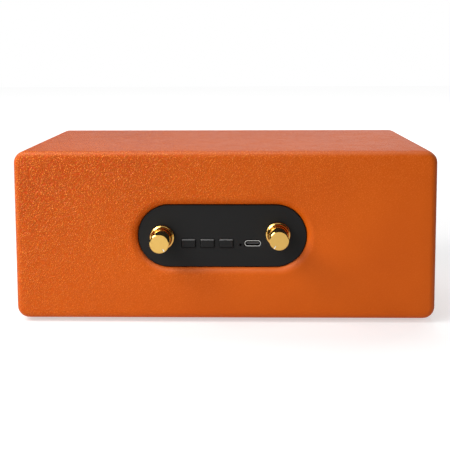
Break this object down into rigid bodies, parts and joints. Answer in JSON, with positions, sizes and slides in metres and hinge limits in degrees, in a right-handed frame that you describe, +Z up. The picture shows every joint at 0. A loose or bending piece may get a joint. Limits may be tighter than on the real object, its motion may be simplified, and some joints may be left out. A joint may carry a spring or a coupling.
{
  "type": "portable speaker",
  "caption": "Leather-wrapped portable speaker box with a recessed rear control panel: turned knobs, push buttons, USB-C socket; woven grille, drivers and passive radiator in front.",
  "frame": {"origin": "middle of the whole object's footprint, on the surface it stands on", "axes": "+X right as seen from the control side, +Y from the control side towards the grille, +Z up"},
  "size_m": [0.23, 0.141, 0.0948],
  "materials": {
    "leather": "matt grained tan",
    "fibreboard": "raw",
    "black_plastic": "satin",
    "gold_plate": "polished, spun faces",
    "plated_steel": "plain",
    "zinc_case": "plain",
    "clear_plastic": "clear",
    "board": "solder mask",
    "foam": "open cell",
    "rubber": "matt",
    "cloth": "woven",
    "paper": "pulp",
    "phenolic": "impregnated cloth",
    "copper": "enamelled wire",
    "ferrite": "sintered",
    "steel_painted": "powder coat",
    "aluminium": "satin",
    "black_aluminium": "anodised",
    "brass": "turned",
    "cell_sleeve": "shrink sleeve",
    "component": "moulded"
  },
  "bodies": {
    "cabinet": {"amp_board": "board", "amp_heatsink": "black_aluminium", "amp_parts": "component", "amp_posts": "brass", "baffle": "fibreboard", "baffle_ledge": "fibreboard", "baffle_screws": "plated_steel", "battery_cells": "cell_sleeve", "battery_screws": "plated_steel", "battery_tray": "black_plastic", "board_screws": "plated_steel", "cabinet_shell": "fibreboard", "charge_light": "clear_plastic", "control_board": "board", "control_panel": "black_plastic", "driver_frame_left": "steel_painted", "driver_frame_right": "steel_painted", "feet": "rubber", "foam_seals": "foam", "grille_cloth": "cloth", "grille_cups": "rubber", "grille_frame": "black_plastic", "leather_wrap": "leather", "light_pipe": "clear_plastic", "magnet_left": "ferrite", "magnet_right": "ferrite", "motor_plates_left": "plated_steel", "motor_plates_right": "plated_steel", "pot_case_left": "zinc_case", "pot_case_right": "zinc_case", "pot_nuts": "plated_steel", "radiator_frame": "steel_painted", "radiator_surround": "rubber", "short_screws": "plated_steel", "spider_left": "phenolic", "spider_right": "phenolic", "surround_left": "rubber", "surround_right": "rubber", "switch_cases": "black_plastic", "usb_shell": "plated_steel", "usb_tongue": "black_plastic"},
    "left_knob": {"knob_left": "gold_plate", "pot_shaft_left": "plated_steel"},
    "right_knob": {"knob_right": "gold_plate", "pot_shaft_right": "plated_steel"},
    "button_1": {"button_cap_1": "black_plastic", "switch_plunger_1": "black_plastic"},
    "button_2": {"button_cap_2": "black_plastic", "switch_plunger_2": "black_plastic"},
    "button_3": {"button_cap_3": "black_plastic", "switch_plunger_3": "black_plastic"},
    "left_diaphragm": {"cone_left": "paper", "dust_cap_left": "paper", "voice_coil_left": "copper"},
    "right_diaphragm": {"cone_right": "paper", "dust_cap_right": "paper", "voice_coil_right": "copper"},
    "radiator_diaphragm": {"radiator_plate": "aluminium", "radiator_weight": "steel_painted"}
  },
  "joints": [
    {"name": "left_knob_turn", "type": "hinge", "parent": "cabinet", "child": "left_knob", "pos_m": [-0.0342, -0.0555, 0.0475], "axis": [0, 1, 0], "range_deg": [-295, 0]},
    {"name": "right_knob_turn", "type": "hinge", "parent": "cabinet", "child": "right_knob", "pos_m": [0.029, -0.0555, 0.0492], "axis": [0, 1, 0], "range_deg": [0, 295]},
    {"name": "button_1_press", "type": "slide", "parent": "cabinet", "child": "button_1", "axis": [0, 1, 0], "range_m": [0, 0.00035], "stiffness_N_per_m": 1200, "springref_m": -0.0008},
    {"name": "button_2_press", "type": "slide", "parent": "cabinet", "child": "button_2", "axis": [0, 1, 0], "range_m": [0, 0.00035], "stiffness_N_per_m": 1200, "springref_m": -0.0008},
    {"name": "button_3_press", "type": "slide", "parent": "cabinet", "child": "button_3", "axis": [0, 1, 0], "range_m": [0, 0.00035], "stiffness_N_per_m": 1200, "springref_m": -0.0008},
    {"name": "left_cone_stroke", "type": "slide", "parent": "cabinet", "child": "left_diaphragm", "axis": [0, 1, 0], "range_m": [-0.002, 0.002], "stiffness_N_per_m": 1200, "deforming": ["surround_left", "spider_left"]},
    {"name": "right_cone_stroke", "type": "slide", "parent": "cabinet", "child": "right_diaphragm", "axis": [0, 1, 0], "range_m": [-0.002, 0.002], "stiffness_N_per_m": 1200, "deforming": ["surround_right", "spider_right"]},
    {"name": "radiator_stroke", "type": "slide", "parent": "cabinet", "child": "radiator_diaphragm", "axis": [0, 1, 0], "range_m": [-0.003, 0.003], "stiffness_N_per_m": 800, "deforming": ["radiator_surround"]}
  ]
}
